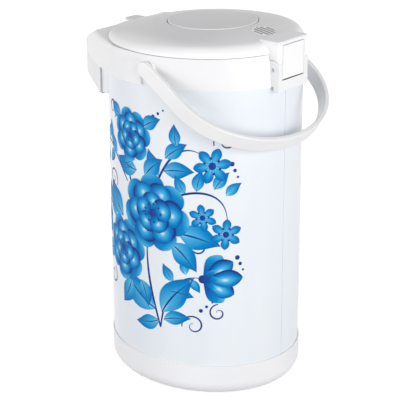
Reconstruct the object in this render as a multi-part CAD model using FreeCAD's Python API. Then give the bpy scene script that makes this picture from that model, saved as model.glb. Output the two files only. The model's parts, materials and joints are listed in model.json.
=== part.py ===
import FreeCAD, Part
import math
import os
from FreeCAD import Vector

# A pump pot: an oval metal body on a plastic base, a moulded collar with a pouring nose, a hinged
# pump lid and a bail handle. Millimetres, +Z up, the nose toward -Y and the hinge toward +Y.

# Body and base
body_half_width = 95.0
body_half_depth = 107.5
shell_wall = 0.8
shell_fit = 0.15
seam_half_width = 3.0
seam_proud = 0.6
base_height = 36.0
base_proud = 1.2
base_edge_radius = 16.0
base_wall = 3.5
base_floor = 4.0
shell_seat_depth = 10.0
foot_recess = 1.5
foot_rim_width = 9.0

# Pump axis and liner
pump_from_back = 96.5
pump_y = body_half_depth - pump_from_back
liner_radius = 76.0
liner_corner = 40.0
liner_shoulder_round = 18.0
liner_neck_round = 8.0
neck_radius = 53.0
neck_height = 11.0
glass_wall = 1.8
vacuum_gap = 4.4
neck_vacuum_gap = 2.6

# Bottom cap under the liner
cap_flange_radius = 43.6
cap_flange = 2.5
cap_body_radius = 39.7
cap_top = 15.5
cap_cup_radius = 33.0
cap_floor_low = 8.0
cap_floor_high = 11.0
grip_radius = 28.0
grip_bar_half = 6.5
cap_fit = 0.3
cap_boss_wall = 4.0
cushion_radius = 30.0
cushion_height = 6.0

# Collar
collar_bottom = 338.0
collar_height = 33.0
collar_proud = 1.5
rim_flare = 6.5
rim_tuck = 1.5
collar_wall = 3.0
deck_rise = 4.0
deck_thick = 3.0
gasket_thick = 3.0
throat_radius = 47.0
throat_wall = 3.0
throat_drop = 13.0
ledge_thick = 3.5
ledge_gap = 1.5
collar_top = collar_bottom + collar_height
rim_half_width = body_half_width + rim_flare
rim_half_depth = body_half_depth - rim_tuck
deck_bottom = collar_bottom + deck_rise
deck_top = deck_bottom + deck_thick
throat_top = collar_top - throat_drop
throat_front_y = pump_y - throat_radius

# Pouring nose, measured from the front of the body and from the collar
nose_half_width = 39.0
nose_reach = 35.5
nose_corner = 15.0
nose_flare_x = body_half_width - 3.0
nose_flare_y = -body_half_depth + 59.5
nose_shoulder_x = body_half_width - 21.0
nose_shoulder_y = -body_half_depth + 25.5
nose_shoulder_round = 40.0
nose_root_y = -body_half_depth - 5.5
nose_flare_round = 25.0
nose_rear_y = -body_half_depth - 5.5
nose_wall = 2.6
nose_tip_y = -body_half_depth - nose_reach
nose_top_high = collar_top - 0.2
nose_top_break_y = -body_half_depth + 3.5
nose_brow_y = nose_tip_y + 10.0
nose_brow_z = collar_top - 12.5
nose_face_top = collar_top - 19.5
nose_face_low = collar_bottom - 13.0
nose_chin_y = -body_half_depth - 8.5
nose_chin_z = collar_bottom - 41.0
nose_brow_round = 10.0
nose_edge_round = 5.0
cover_fit = 0.2
cover_wall = 2.4

# Water path
tube_radius = 4.0
tube_bore = 2.9
tube_offset = 40.0
tube_bend = 7.0
tube_level = deck_bottom + 10.0
tube_foot_gap = 14.0
pipe_radius = 5.4
pipe_bore = 4.05
pipe_bend = 9.0
pipe_drop_y = nose_tip_y + 16.0
pipe_end_z = nose_face_low - 9.0
nozzle_radius = 7.4
nozzle_tip_z = nose_face_low - 22.0
nozzle_top_z = nose_face_low - 4.0
strainer_radius = 6.2
strainer_height = 9.0

# Lid
lid_gap = 0.5
lid_rise = 20.6
crown_back = 5.8
crown_drop = 20.68
lid_shoulder = 14.0
lid_wall = 2.4
press_radius = 47.0
press_fit = 0.5
press_edge = 7.5
press_skin = 2.6
press_skirt = 2.4
press_round = 1.0
well_wall = 2.4
vent_y = body_half_depth - 30.0
vent_radius = 12.0
vent_fit = 0.2
vent_through_radius = 10.2
vent_sunk = 1.3
vent_proud = 0.2
vent_slots = 6
vent_pitch = 3.3
vent_slot_width = 1.5
lid_base_plate = 2.5
lid_base_half_width = rim_half_width - 11.5
lid_base_half_depth = rim_half_depth - 13.5
lid_base_wall = 2.0
lid_base_lip = 2.0
lid_base_lip_fit = 0.3
post_radius = 4.5
post_x = rim_half_width - 39.5
post_front_y = -rim_half_depth + 64.0
post_rear_y = rim_half_depth - 54.0
screw_radius = 1.6
screw_head_radius = 3.2
screw_head = 2.0
screw_length = 11.0
lid_gasket_in = throat_radius - 2.5
lid_gasket_out = throat_radius + throat_wall + 2.0
lid_gasket_thick = 2.8
lid_gasket_gap = 0.2
lid_bottom = collar_top + lid_gap
lid_top = collar_top + lid_rise
crown_y = pump_y + crown_back
crown_reach = rim_half_depth + crown_y
lid_crown = (crown_reach ** 2 + crown_drop ** 2) / (2 * crown_drop)
press_low = lid_top - press_edge
well_bottom = collar_top - 6.0
lid_base_bottom = throat_top + lid_gasket_gap + lid_gasket_thick

# Pump
cup_radius = 34.0
cup_wall = 2.0
cup_floor_low = deck_bottom - 1.0
cup_floor = 2.5
cup_floor_top = cup_floor_low + cup_floor
bellows_out = 30.5
bellows_in = 24.5
bellows_wall = 1.2
bellows_folds = 5
bellows_flange = 1.6
bellows_flange_in = 21.0
spring_radius = 14.0
spring_wire = 0.9
spring_turns = 6
spring_end_gap = 0.1
valve_radius = 9.0
valve_disc = 1.4
valve_stem = 2.4
valve_gap = 0.2
valve_port = 1.8
valve_port_circle = 5.6

# Hinge at the back, measured from its pin
hinge_y = body_half_depth
hinge_z = collar_top - 15.0
hinge_half_width = 24.5
hinge_face_y = hinge_y + 7.0
hinge_block_bottom = collar_bottom - 4.0
hinge_pin_radius = 2.0
hinge_pin_half = 23.2
ear_inner = 17.8
ear_top_radius = 9.5
hinge_clear = 0.45
pocket_radius = 13.1
pocket_wall = 2.5
lug_in = 8.5
lug_out = 16.8
lug_radius = 4.1
lug_front_y = hinge_y - 7.5
lug_back_y = hinge_y + 3.9
lug_step_z = hinge_z + 16.0
lug_step = 1.4
box_front_y = hinge_y - 17.5
box_top = hinge_z + 29.2
box_roof = 4.0
box_round = 1.6

# Release lever in the back of the lid
release_half_width = 17.4
release_thick = 2.5
release_top = box_top - box_roof - 0.9
release_low = hinge_z - 10.0
release_round = 0.6
release_pin_y = hinge_y + 2.3
release_pin_z = hinge_z + 14.0
release_pin_radius = 1.25
release_barrel = 2.5
release_barrel_half = 8.0
release_hook_half = 7.4
release_hook_tip_y = hinge_y + 1.2
release_hook_thick = 2.6
release_hook_gap = 0.5

# Latch at the front of the lid
latch_half_width = 9.8
latch_gap = 0.4
latch_pin_y = -rim_half_depth + 9.0
latch_pin_z = collar_top - 2.7
latch_pin_radius = 1.3
latch_barrel = 2.7
latch_rear_y = -rim_half_depth + 27.5
latch_front_y = -rim_half_depth + 0.5
latch_lip_low = collar_top + 2.5
latch_lip = 2.0
latch_lip_rear_y = -rim_half_depth + 20.0
latch_stem_half = 6.5
latch_stem = 3.0
latch_hook_low = collar_top - 11.0
latch_tooth = 2.0
latch_tooth_high = 3.0
latch_cheek = 3.0
latch_tooth_y = latch_pin_y - latch_stem / 2 - latch_tooth
keeper_gap = 0.4
keeper_high = 3.0
keeper_short = 0.2
keeper_half_width = 8.0

# Bail handle
bail_gap = 2.8
bail_y = 8.5
bail_z = collar_top - 14.5
bail_straight = 58.0
bail_back = 12.5
bail_thick = 5.5
bail_broad = 16.5
bail_round = 1.4
bail_droop = 34.0
bail_half_width = rim_half_width + bail_gap
bail_reach = (body_half_depth + bail_back - bail_y) / math.cos(math.radians(bail_droop))
trunnion_radius = 5.0
trunnion_fit = 0.05
pad_radius = 9.0
pad_gap = 0.4
pad_inner = rim_half_width - 8.5
trunnion_end = pad_inner - 2.6
clip_radius = 7.2
clip_thick = 1.2
clip_gap = 0.4
clip_groove = 0.8

# Heights that follow from the sizes above
shell_bottom = base_height - shell_seat_depth
liner_bottom = cap_floor_high + cushion_height
liner_rim = deck_bottom - gasket_thick
liner_neck_low = liner_rim - neck_height
liner_shoulder_low = liner_neck_low - (liner_radius - neck_radius)


def ellipse_wire(half_w, half_d, z):
    centre = Vector(0, 0, z)
    side = Vector(half_w, 0, z)
    front = Vector(0, half_d, z)
    if half_d >= half_w:
        return Part.Wire([Part.Ellipse(front, side, centre).toShape()])
    return Part.Wire([Part.Ellipse(side, front, centre).toShape()])


def oval(half_w, half_d, z0, z1):
    return Part.Face(ellipse_wire(half_w, half_d, z0)).extrude(Vector(0, 0, z1 - z0))


def oval_loft(low, high, z0, z1):
    return Part.makeLoft([ellipse_wire(low[0], low[1], z0), ellipse_wire(high[0], high[1], z1)], True, True)


def box(x0, x1, y0, y1, z0, z1):
    return Part.makeBox(x1 - x0, y1 - y0, z1 - z0, Vector(x0, y0, z0))


def wide(half, y0, y1, z0, z1):
    return box(-half, half, y0, y1, z0, z1)


def drum(radius, z0, z1, x=0.0, y=pump_y):
    return Part.makeCylinder(radius, z1 - z0, Vector(x, y, z0), Vector(0, 0, 1))


def ring(outer, inner, z0, z1, x=0.0, y=pump_y):
    return drum(outer, z0, z1, x, y).cut(drum(inner, z0, z1, x, y))


def rod(radius, x0, x1, y, z):
    return Part.makeCylinder(radius, x1 - x0, Vector(x0, y, z), Vector(1, 0, 0))


def prism_x(points, x0, x1):
    face = Part.Face(Part.makePolygon([Vector(x0, y, z) for y, z in points + points[:1]]))
    return face.extrude(Vector(x1 - x0, 0, 0))


def prism_z(points, z0, z1):
    face = Part.Face(Part.makePolygon([Vector(x, y, z0) for x, y in points + points[:1]]))
    return face.extrude(Vector(0, 0, z1 - z0))


def turned(points):
    """Revolve radius and height pairs about the pump axis."""
    face = Part.Face(Part.makePolygon([Vector(r, pump_y, z) for r, z in points + points[:1]]))
    return face.revolve(Vector(0, pump_y, 0), Vector(0, 0, 1), 360)


def joined(shapes):
    whole = shapes[0]
    for shape in shapes[1:]:
        whole = whole.fuse(shape)
    return whole.removeSplitter()


def edges_at_height(shape, z, tol=0.01):
    return [e for e in shape.Edges if abs(e.BoundBox.ZMin - z) < tol and abs(e.BoundBox.ZMax - z) < tol]


def edges_along_x_at(shape, y, z):
    found = []
    for e in shape.Edges:
        b = e.BoundBox
        if b.XLength > 1 and b.YLength < 0.01 and b.ZLength < 0.01:
            if abs(b.YMin - y) < 0.01 and abs(b.ZMin - z) < 0.01:
                found.append(e)
    return found


def upright_edges_at(shape, x, y):
    found = []
    for e in shape.Edges:
        b = e.BoundBox
        if b.ZLength > 1 and b.XLength < 0.01 and b.YLength < 0.01:
            if abs(abs(b.XMin) - x) < 0.01 and abs(b.YMin - y) < 0.01:
                found.append(e)
    return found


def bent_tube(points, bend, radius):
    """Round bar along two straight runs in the plane x = 0, with one bend between them."""
    a, corner, b = [Vector(0, y, z) for y, z in points]
    to_a = (a - corner).normalize()
    to_b = (b - corner).normalize()
    start = corner + to_a * bend
    end = corner + to_b * bend
    middle = corner + (to_a + to_b) * bend
    knee = middle - (to_a + to_b).normalize() * bend
    path = Part.Wire([Part.makeLine(a, start), Part.Arc(start, knee, end).toShape(), Part.makeLine(end, b)])
    section = Part.Wire([Part.makeCircle(radius, a, to_a)])
    return path.makePipeShell([section], True, False)


def make_body_shell():
    height = deck_bottom
    shell = oval(body_half_width, body_half_depth, shell_bottom, height)
    strip = oval(body_half_width + seam_proud, body_half_depth + seam_proud,
                 base_height + seam_proud, hinge_block_bottom - seam_proud)
    strip = strip.common(wide(seam_half_width, 0, body_half_depth + 9, 0, height))
    shell = shell.fuse(strip)
    shell = shell.cut(oval(body_half_width - shell_wall, body_half_depth - shell_wall, 0, height + 9))
    notch = wide(hinge_half_width + 1.5, 0, body_half_depth + 9, hinge_block_bottom + 4, height + 9)
    return shell.cut(notch)


def make_base_ring():
    half_w = body_half_width + base_proud
    half_d = body_half_depth + base_proud
    solid = oval(half_w, half_d, 0, base_height)
    solid = solid.makeFillet(base_edge_radius, edges_at_height(solid, 0))
    room = oval(half_w - base_wall, half_d - base_wall, base_floor, base_height + 9)
    room = room.makeFillet(base_edge_radius - base_wall, edges_at_height(room, base_floor))
    seat = oval(body_half_width + shell_fit, body_half_depth + shell_fit, shell_bottom, base_height + 9)
    solid = solid.cut(room).cut(seat)
    boss_out = cap_body_radius + cap_fit + cap_boss_wall
    solid = solid.fuse(drum(boss_out, base_floor - 1, cap_top - 1))
    solid = solid.cut(drum(cap_body_radius + cap_fit, -1, cap_top + 9))
    solid = solid.cut(drum(cap_flange_radius + cap_fit, -1, cap_flange))
    flat_w = half_w - base_edge_radius - foot_rim_width
    flat_d = half_d - base_edge_radius - foot_rim_width
    recess = oval(flat_w, flat_d, -1, foot_recess)
    recess = recess.cut(drum(cap_flange_radius + cap_boss_wall, -2, foot_recess + 1))
    return solid.cut(recess)


def make_bottom_cap():
    cap = drum(cap_flange_radius, 0, cap_flange).fuse(drum(cap_body_radius, cap_flange, cap_top))
    cap = cap.cut(drum(cap_cup_radius, cap_floor_high, cap_top + 9))
    grip = drum(grip_radius, -1, cap_floor_low).cut(wide(grip_bar_half, -99, 99, -2, cap_floor_low + 1))
    return cap.cut(grip)


def make_liner_cushion():
    pad = drum(cushion_radius, cap_floor_high, liner_bottom)
    return pad.cut(drum(cushion_radius / 3, cap_floor_high - 1, cap_floor_high + cushion_height / 2))


def flask_form(inset, neck_inset, top):
    """A filled bottle outline, moved in by the given amount at the belly and at the neck."""
    lean = math.sqrt(2) - 1
    belly = liner_radius - inset
    neck = neck_radius - neck_inset
    shoulder = liner_shoulder_low - inset * lean
    neck_low = shoulder + belly - neck
    solid = turned([(0, liner_bottom + inset), (belly, liner_bottom + inset), (belly, shoulder),
                    (neck, neck_low), (neck, top), (0, top)])
    solid = solid.makeFillet(liner_corner - inset, edges_at_height(solid, liner_bottom + inset))
    solid = solid.makeFillet(liner_shoulder_round - inset, edges_at_height(solid, shoulder))
    return solid.makeFillet(liner_neck_round + inset, edges_at_height(solid, neck_low))


def make_outer_flask():
    top = liner_rim - glass_wall
    return flask_form(0, 0, top).cut(flask_form(glass_wall, glass_wall, top + 9))


def make_inner_flask():
    inset = glass_wall + vacuum_gap
    neck_inset = glass_wall + neck_vacuum_gap
    solid = flask_form(inset, neck_inset, liner_rim)
    solid = solid.fuse(drum(neck_radius, liner_rim - glass_wall, liner_rim))
    return solid.cut(flask_form(inset + glass_wall, neck_inset + glass_wall, liner_rim + 9))


def make_neck_gasket():
    inner = neck_radius - 2 * glass_wall - neck_vacuum_gap
    return ring(neck_radius + 2, inner, liner_rim, deck_bottom)


def nose_form(inset, open_below):
    """The pouring nose: a side outline and a plan outline, both moved in by the given amount."""
    half = nose_half_width - inset
    tip = nose_tip_y + inset
    top = nose_top_high - inset
    brow = nose_brow_z - inset
    low = nose_face_low - (40 if open_below else -inset * 0.4)
    chin = nose_chin_z - (40 if open_below else -inset)
    rear = nose_rear_y + (1 if open_below else 0)
    under = collar_bottom - (60 if open_below else 0)
    side = prism_x([(nose_flare_y, under), (nose_flare_y, top), (nose_top_break_y, top),
                    (nose_brow_y + inset * 0.4, brow), (tip, nose_face_top - inset), (tip, low),
                    (nose_chin_y, chin), (rear, chin), (rear, under)], -120, 120)
    side = side.makeFillet(nose_brow_round, edges_along_x_at(side, nose_brow_y + inset * 0.4, brow)
                           + edges_along_x_at(side, nose_top_break_y, top))
    flare = nose_flare_x - inset
    shoulder = nose_shoulder_x - inset
    plan = prism_z([(-flare, nose_flare_y), (-shoulder, nose_shoulder_y), (-half, nose_root_y), (-half, tip),
                    (half, tip), (half, nose_root_y), (shoulder, nose_shoulder_y), (flare, nose_flare_y)],
                   nose_chin_z - 100, collar_top + 30)
    plan = plan.makeFillet(nose_corner - inset, upright_edges_at(plan, half, tip))
    plan = plan.makeFillet(nose_flare_round + inset, upright_edges_at(plan, half, nose_root_y))
    plan = plan.makeFillet(nose_shoulder_round - inset, upright_edges_at(plan, shoulder, nose_shoulder_y))
    return side.common(plan)


def mid_normal(face):
    u0, u1, v0, v1 = face.ParameterRange
    return face.normalAt((u0 + u1) / 2, (v0 + v1) / 2)


def rounded_nose():
    """The outer nose with the edges between its top and its walls rounded."""
    nose = nose_form(0, False)
    tops = [face for face in nose.Faces if mid_normal(face).z > 0.4]
    walls = [face for face in nose.Faces if abs(mid_normal(face).z) < 0.01 and mid_normal(face).y < 0.5]
    edges = [edge for face in tops for edge in face.Edges
             if any(edge.isSame(other) for wall in walls for other in wall.Edges)]
    return nose.makeFillet(nose_edge_round, edges)


def collar_form(inset, z0, z1):
    low = (body_half_width + collar_proud - inset, body_half_depth + collar_proud - inset)
    high = (rim_half_width - inset, rim_half_depth - inset)
    loft = oval_loft(low, high, collar_bottom, collar_top)
    return loft.common(box(-200, 200, -200, 200, z0, z1))


def make_collar():
    outer = collar_form(0, collar_bottom, collar_top).fuse(rounded_nose())
    outer = outer.cut(oval(body_half_width + shell_fit, body_half_depth + shell_fit, 0, deck_bottom))
    hollow = nose_form(nose_wall, True)
    hollow = hollow.cut(collar_form(0, collar_bottom, collar_top))
    hollow = hollow.cut(oval(body_half_width + collar_proud, body_half_depth + collar_proud, 0, collar_bottom))
    outer = outer.cut(hollow)
    outer = outer.cut(collar_form(collar_wall, deck_top, collar_top))
    outer = outer.fuse(ring(throat_radius + throat_wall, throat_radius, deck_bottom, throat_top))
    outer = outer.cut(drum(throat_radius, 0, throat_top + 1))
    block = wide(hinge_half_width, hinge_y - pocket_radius - pocket_wall, hinge_face_y,
                 deck_bottom - 3, hinge_z + ear_top_radius)
    apron = wide(hinge_half_width, body_half_depth + seam_proud + 0.2, hinge_face_y,
                 hinge_block_bottom, deck_bottom)
    outer = outer.fuse(block).fuse(apron)
    outer = outer.cut(wide(hinge_half_width + hinge_clear, hinge_y - pocket_radius - pocket_wall, 130,
                           hinge_z + ear_top_radius, collar_top + 1))
    outer = outer.cut(rod(pocket_radius, -ear_inner, ear_inner, hinge_y, hinge_z))
    outer = outer.cut(wide(ear_inner, hinge_y - pocket_radius, 130, hinge_z, collar_top + 1))
    corner = wide(hinge_half_width + 1, hinge_y, 130, hinge_z, collar_top + 1)
    corner = corner.cut(rod(ear_top_radius, -40, 40, hinge_y, hinge_z))
    outer = outer.cut(corner)
    outer = outer.cut(rod(hinge_pin_radius, -40, 40, hinge_y, hinge_z))
    shell_slot = oval(body_half_width + shell_fit, body_half_depth + shell_fit, 0, hinge_block_bottom + 4)
    outer = outer.cut(shell_slot)
    pad_outer = bail_half_width - bail_thick / 2 - pad_gap
    bore = trunnion_radius + trunnion_fit
    for x0, x1 in ((pad_inner, pad_outer), (-pad_outer, -pad_inner)):
        outer = outer.fuse(rod(pad_radius, x0, x1, bail_y, bail_z))
    outer = outer.cut(rod(bore, pad_inner - 1, 130, bail_y, bail_z))
    outer = outer.cut(rod(bore, -130, -pad_inner + 1, bail_y, bail_z))
    tooth_high = latch_hook_low + latch_tooth_high
    ledge = collar_form(0, collar_top - ledge_thick, collar_top)
    ledge = ledge.common(wide(rim_half_width, -rim_half_depth - 9, nose_shoulder_y, 0, collar_top))
    ledge = ledge.cut(oval(lid_base_half_width + ledge_gap, lid_base_half_depth + ledge_gap, 0, collar_top))
    ledge = ledge.cut(wide(latch_half_width + latch_gap + latch_cheek + 0.5, latch_tooth_y - 1, 0, 0, collar_top))
    outer = outer.fuse(ledge)
    keeper_y = latch_tooth_y - keeper_short
    keeper = wide(keeper_half_width, -rim_half_depth, keeper_y, tooth_high + keeper_gap,
                  tooth_high + keeper_gap + keeper_high)
    outer = outer.fuse(keeper.common(collar_form(collar_wall / 2, collar_bottom, collar_top)))
    channel = Part.makeCylinder(pipe_radius + 0.2, 70, Vector(0, -80, tube_level), Vector(0, -1, 0))
    outer = outer.cut(channel.common(box(-20, 20, nose_rear_y, -80, 300, 400)))
    port = Part.makeCylinder(tube_radius + 0.05, 20, Vector(0, pump_y - 30, tube_level), Vector(0, -1, 0))
    return outer.cut(port).removeSplitter()


def make_spout_cover():
    """The piece that closes the nose below and behind, with the hole for the nozzle."""
    room = nose_form(nose_wall + cover_fit, True)
    chin = Vector(0, nose_chin_y, nose_chin_z)
    lip = Vector(0, nose_tip_y, nose_face_low)
    slope = (lip - chin).normalize()
    inward = Vector(0, slope.z, -slope.y)
    low = chin + inward * 1.0
    high = lip + inward * 1.0
    points = [low - slope * 20, high + slope * 20, high + slope * 20 + inward * cover_wall,
              low - slope * 20 + inward * cover_wall]
    plate = prism_x([(p.y, p.z) for p in points], -90, 90)
    rear = wide(90, nose_rear_y - cover_wall, nose_rear_y, nose_chin_z + 1.0, collar_bottom)
    below = prism_x([(low.y - slope.y * 60, low.z - slope.z * 60), (high.y + slope.y * 60, high.z + slope.z * 60),
                     (high.y + slope.y * 60 - inward.y * 90, high.z + slope.z * 60 - inward.z * 90),
                     (low.y - slope.y * 60 - inward.y * 90, low.z - slope.z * 60 - inward.z * 90)], -95, 95)
    cover = plate.fuse(rear).cut(below).common(room)
    cover = cover.common(wide(nose_half_width, nose_tip_y, nose_rear_y, 200, collar_bottom))
    return cover.cut(drum(nozzle_radius + 0.1, 280, 340, 0, pipe_drop_y)).removeSplitter()


def make_dip_tube():
    x_axis_y = pump_y - tube_offset
    foot = liner_bottom + 2 * glass_wall + vacuum_gap + tube_foot_gap
    end_y = throat_front_y - throat_wall - 2.5
    points = [(x_axis_y, foot), (x_axis_y, tube_level), (end_y, tube_level)]
    longer = [(x_axis_y, foot - 1), (x_axis_y, tube_level), (end_y - 1, tube_level)]
    return bent_tube(points, tube_bend, tube_radius).cut(bent_tube(longer, tube_bend, tube_bore))


def make_tube_strainer():
    x_axis_y = pump_y - tube_offset
    foot = liner_bottom + 2 * glass_wall + vacuum_gap + tube_foot_gap
    low = foot - strainer_height / 2
    cap = drum(strainer_radius, low, low + strainer_height, 0, x_axis_y)
    cap = cap.cut(drum(tube_radius, foot, low + strainer_height + 1, 0, x_axis_y))
    cap = cap.cut(drum(tube_bore, low + 1.5, foot + 1, 0, x_axis_y))
    for turn in range(3):
        slot = wide(9, x_axis_y - 0.7, x_axis_y + 0.7, low - 1, low + 1.2)
        slot.rotate(Vector(0, x_axis_y, 0), Vector(0, 0, 1), 60 * turn)
        cap = cap.cut(slot)
    return cap.cut(drum(1.6, low - 1, low + 2, 0, x_axis_y))


def make_pour_pipe():
    start = throat_front_y - throat_wall - 0.2
    points = [(start, tube_level), (pipe_drop_y, tube_level), (pipe_drop_y, pipe_end_z)]
    longer = [(start + 1, tube_level), (pipe_drop_y, tube_level), (pipe_drop_y, pipe_end_z - 1)]
    return bent_tube(points, pipe_bend, pipe_radius).cut(bent_tube(longer, pipe_bend, pipe_bore))


def make_nozzle():
    body = drum(nozzle_radius, nozzle_tip_z, nozzle_top_z, 0, pipe_drop_y)
    body = body.makeFillet(1.2, edges_at_height(body, nozzle_tip_z))
    body = body.cut(drum(pipe_radius, pipe_end_z, nozzle_top_z + 1, 0, pipe_drop_y))
    return body.cut(drum(pipe_bore, nozzle_tip_z - 1, pipe_end_z + 1, 0, pipe_drop_y))


def make_hinge_pin():
    return rod(hinge_pin_radius, -hinge_pin_half, hinge_pin_half, hinge_y, hinge_z)


def crown_ball(inset):
    return Part.makeSphere(lid_crown - inset, Vector(0, crown_y, lid_top - lid_crown))


def lid_form(inset, bottom):
    """The filled lid outline, moved in by the given amount, with a rounded shoulder and a crowned top."""
    foot = lid_bottom - 2 * lid_shoulder
    block = oval(rim_half_width - inset, rim_half_depth - inset, foot, lid_top + 9)
    solid = block.common(crown_ball(inset))
    crown = [e for e in solid.Edges if e.BoundBox.ZMin > foot + lid_shoulder and e.BoundBox.XLength > 1]
    solid = solid.makeFillet(lid_shoulder - inset, crown)
    return solid.common(wide(200, -200, 200, bottom, lid_top + 9))


def make_lid_cover():
    full = lid_form(0, lid_bottom)
    cover = full.cut(lid_form(lid_wall, lid_bottom - 1))
    hole = press_radius + press_fit
    well = ring(hole + well_wall, hole, well_bottom, lid_top + 9).common(lid_form(0, well_bottom))
    cover = cover.fuse(well).cut(drum(hole, well_bottom - 1, lid_top + 9))
    rim = [e for e in cover.Edges if e.BoundBox.ZMin > press_low and abs(e.BoundBox.XLength - 2 * hole) < 0.1]
    cover = cover.makeFillet(press_round, rim)
    for x in (-post_x, post_x):
        for y in (post_front_y, post_rear_y):
            top = lid_base_bottom + lid_base_plate
            cover = cover.fuse(drum(post_radius, top, lid_top, x, y).common(lid_form(0, top)))
            cover = cover.cut(drum(screw_radius, top - 1, top + screw_length, x, y))
    inner = latch_half_width + latch_gap
    cover = cover.fuse(wide(inner + latch_cheek, latch_pin_y - 3.2, latch_pin_y + 3.2, latch_pin_z - 3.2,
                            lid_bottom + 1.0).common(lid_form(lid_wall / 2, latch_pin_z - 9)))
    cover = cover.cut(wide(inner, -rim_half_depth - 9, latch_rear_y + latch_gap, latch_pin_z - 9, lid_top + 9))
    cover = cover.cut(rod(latch_pin_radius, -inner - latch_cheek + 0.4, inner + latch_cheek - 0.4,
                          latch_pin_y, latch_pin_z))
    cover = cover.fuse(make_hinge_box()).cut(hinge_void()).cut(release_bore())
    cover = cover.cut(drum(vent_through_radius, lid_bottom, lid_top + 9, 0, vent_y))
    sink = drum(vent_radius + vent_fit, lid_bottom + 9, lid_top + 9, 0, vent_y)
    return cover.cut(sink.cut(lid_form(vent_sunk, lid_bottom))).removeSplitter()


def hinge_arc(radius):
    """Everything under the lid's hinge cheeks: a round about the pin outside it, a flat inside it."""
    arc = rod(radius, -40, 40, hinge_y, hinge_z)
    return arc.fuse(wide(40, 40, hinge_y, hinge_z - 40, hinge_z + radius))


def make_hinge_box():
    half = hinge_half_width
    solid = wide(half, box_front_y, hinge_face_y, hinge_z - 10, box_top)
    rounds = [e for e in solid.Edges if e.BoundBox.ZMin > box_top - 0.1 and e.BoundBox.YMax > hinge_face_y - 1]
    rounds += upright_edges_at(solid, half, hinge_face_y)
    solid = solid.makeFillet(box_round, rounds)
    low = hinge_arc(ear_top_radius + hinge_clear).fuse(wide(40, hinge_y, 130, hinge_z - 40, hinge_z))
    solid = solid.cut(low)
    lugs = []
    for x0, x1 in ((lug_in, lug_out), (-lug_out, -lug_in)):
        lug = box(x0, x1, lug_front_y, lug_back_y, hinge_z, lug_step_z)
        lug = lug.fuse(box(x0, x1, lug_front_y, lug_back_y - lug_step, lug_step_z, box_top - box_roof + 1))
        heel = box(x0, x1, lug_front_y, hinge_y, hinge_z - lug_radius, hinge_z)
        heel = heel.common(rod(hinge_y - lug_front_y, x0, x1, hinge_y, hinge_z))
        lugs.append(lug.fuse(heel).fuse(rod(lug_radius, x0, x1, hinge_y, hinge_z)))
    room = wide(ear_inner + hinge_clear / 2, box_front_y + lid_wall, 130, hinge_z - 40, box_top - box_roof)
    solid = solid.cut(room)
    for lug in lugs:
        solid = solid.fuse(lug)
    return solid


def hinge_void():
    """Clearance through the lid for the hinge: the pin's slots, and the lid skirt behind the box."""
    slot = wide(30, hinge_y - hinge_pin_radius - 0.05, hinge_y + hinge_pin_radius + 0.05, hinge_z - 20, hinge_z)
    bore = rod(hinge_pin_radius + 0.05, -30, 30, hinge_y, hinge_z)
    skirt = wide(ear_inner + hinge_clear / 2, box_front_y + lid_wall, lug_front_y, hinge_z - 40, box_top - box_roof)
    return slot.fuse(bore).fuse(skirt)


def release_bore():
    return rod(release_pin_radius, -lug_out, lug_out, release_pin_y, release_pin_z)


def make_lid_base():
    top = lid_bottom + 0.2
    half_w = lid_base_half_width
    half_d = lid_base_half_depth
    tray = oval(half_w, half_d, lid_base_bottom, top + lid_base_lip)
    lip = oval(rim_half_width - lid_wall - lid_base_lip_fit, rim_half_depth - lid_wall - lid_base_lip_fit,
               top, top + lid_base_lip)
    room = wide(200, -200, 200, lid_bottom, lid_top).cut(lid_form(lid_wall + lid_base_lip_fit, lid_bottom - 1))
    tray = tray.fuse(lip).cut(room)
    tray = tray.cut(oval(half_w - lid_base_wall, half_d - lid_base_wall,
                         lid_base_bottom + lid_base_plate, top + 9))
    tray = tray.fuse(drum(cup_radius, cup_floor_low, lid_base_bottom + lid_base_plate))
    tray = tray.cut(drum(cup_radius - cup_wall, cup_floor_top, top + 9))
    tray = tray.cut(drum(valve_stem / 2, cup_floor_low - 1, cup_floor_top + 1))
    for turn in range(4):
        angle = math.radians(45 + 90 * turn)
        port_x = valve_port_circle * math.cos(angle)
        port_y = pump_y + valve_port_circle * math.sin(angle)
        tray = tray.cut(drum(valve_port, cup_floor_low - 1, cup_floor_top + 1, port_x, port_y))
    for x in (-post_x, post_x):
        for y in (post_front_y, post_rear_y):
            tray = tray.cut(drum(screw_radius + 0.1, 0, lid_base_bottom + 9, x, y))
    tray = tray.cut(wide(hinge_half_width + 2, box_front_y - 2, 200, 0, lid_top))
    return tray.cut(wide(latch_half_width + latch_gap + latch_cheek + 0.8, -200, latch_pin_y + 8, 0, lid_top))


def make_lid_gasket():
    return ring(lid_gasket_out, lid_gasket_in, throat_top + lid_gasket_gap, lid_base_bottom)


def make_lid_screws():
    screws = []
    for x in (-post_x, post_x):
        for y in (post_front_y, post_rear_y):
            head = drum(screw_head_radius, lid_base_bottom - screw_head, lid_base_bottom, x, y)
            head = head.cut(box(x - 0.5, x + 0.5, y - 9, y + 9, 0, lid_base_bottom - screw_head + 0.9))
            head = head.cut(box(x - 9, x + 9, y - 0.5, y + 0.5, 0, lid_base_bottom - screw_head + 0.9))
            shank_top = lid_base_bottom + lid_base_plate + screw_length - 1
            screws.append(head.fuse(drum(screw_radius, lid_base_bottom, shank_top, x, y)).removeSplitter())
    return Part.makeCompound(screws)


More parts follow.
